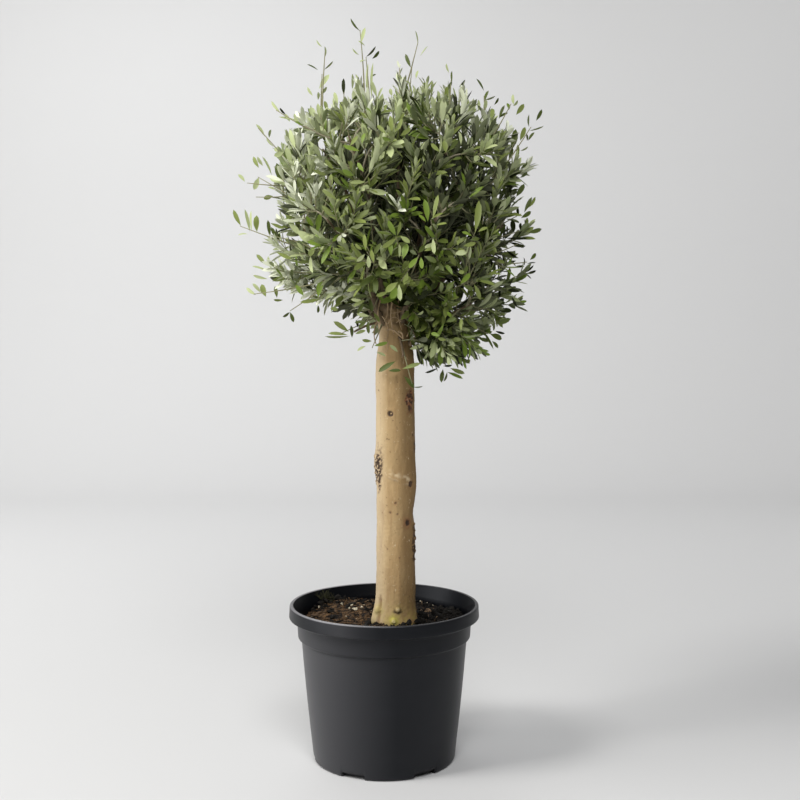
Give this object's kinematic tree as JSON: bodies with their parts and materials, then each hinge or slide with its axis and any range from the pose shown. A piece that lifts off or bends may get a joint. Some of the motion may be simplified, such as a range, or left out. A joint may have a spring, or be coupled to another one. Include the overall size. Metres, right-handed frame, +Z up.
{
  "type": "potted olive tree",
  "caption": "Small olive tree grown as a standard: a bare pale trunk under a bushy rounded crown of narrow grey-green leaves, planted in a plain dark nursery pot.",
  "frame": {"origin": "centre of the pot's flat underside, on the pot's axis", "axes": "+Z up along the pot's axis, -Y towards the viewer of the picture, +X to the viewer's right"},
  "size_m": [0.4921, 0.4577, 1.1425],
  "materials": {
    "pot_plastic": "satin",
    "compost": "matte",
    "trunk_bark": "matte",
    "bough_bark": "matte",
    "foliage": "satin"
  },
  "bodies": {
    "root": {"pot": "pot_plastic", "compost": "compost", "trunk": "trunk_bark", "bough_top": "bough_bark", "bough_upper_1": "bough_bark", "bough_upper_2": "bough_bark", "bough_upper_3": "bough_bark", "bough_upper_4": "bough_bark", "bough_upper_5": "bough_bark", "bough_middle_1": "bough_bark", "bough_middle_2": "bough_bark", "bough_middle_3": "bough_bark", "bough_middle_4": "bough_bark", "bough_middle_5": "bough_bark", "bough_middle_6": "bough_bark", "bough_under_1": "bough_bark", "bough_under_2": "bough_bark", "foliage_top": "foliage", "foliage_upper_1": "foliage", "foliage_upper_2": "foliage", "foliage_upper_3": "foliage", "foliage_upper_4": "foliage", "foliage_upper_5": "foliage", "foliage_middle_1": "foliage", "foliage_middle_2": "foliage", "foliage_middle_3": "foliage", "foliage_middle_4": "foliage", "foliage_middle_5": "foliage", "foliage_middle_6": "foliage", "foliage_under_1": "foliage", "foliage_under_2": "foliage", "foliage_shoot_left": "foliage", "foliage_shoot_front": "foliage"}
  },
  "joints": []
}
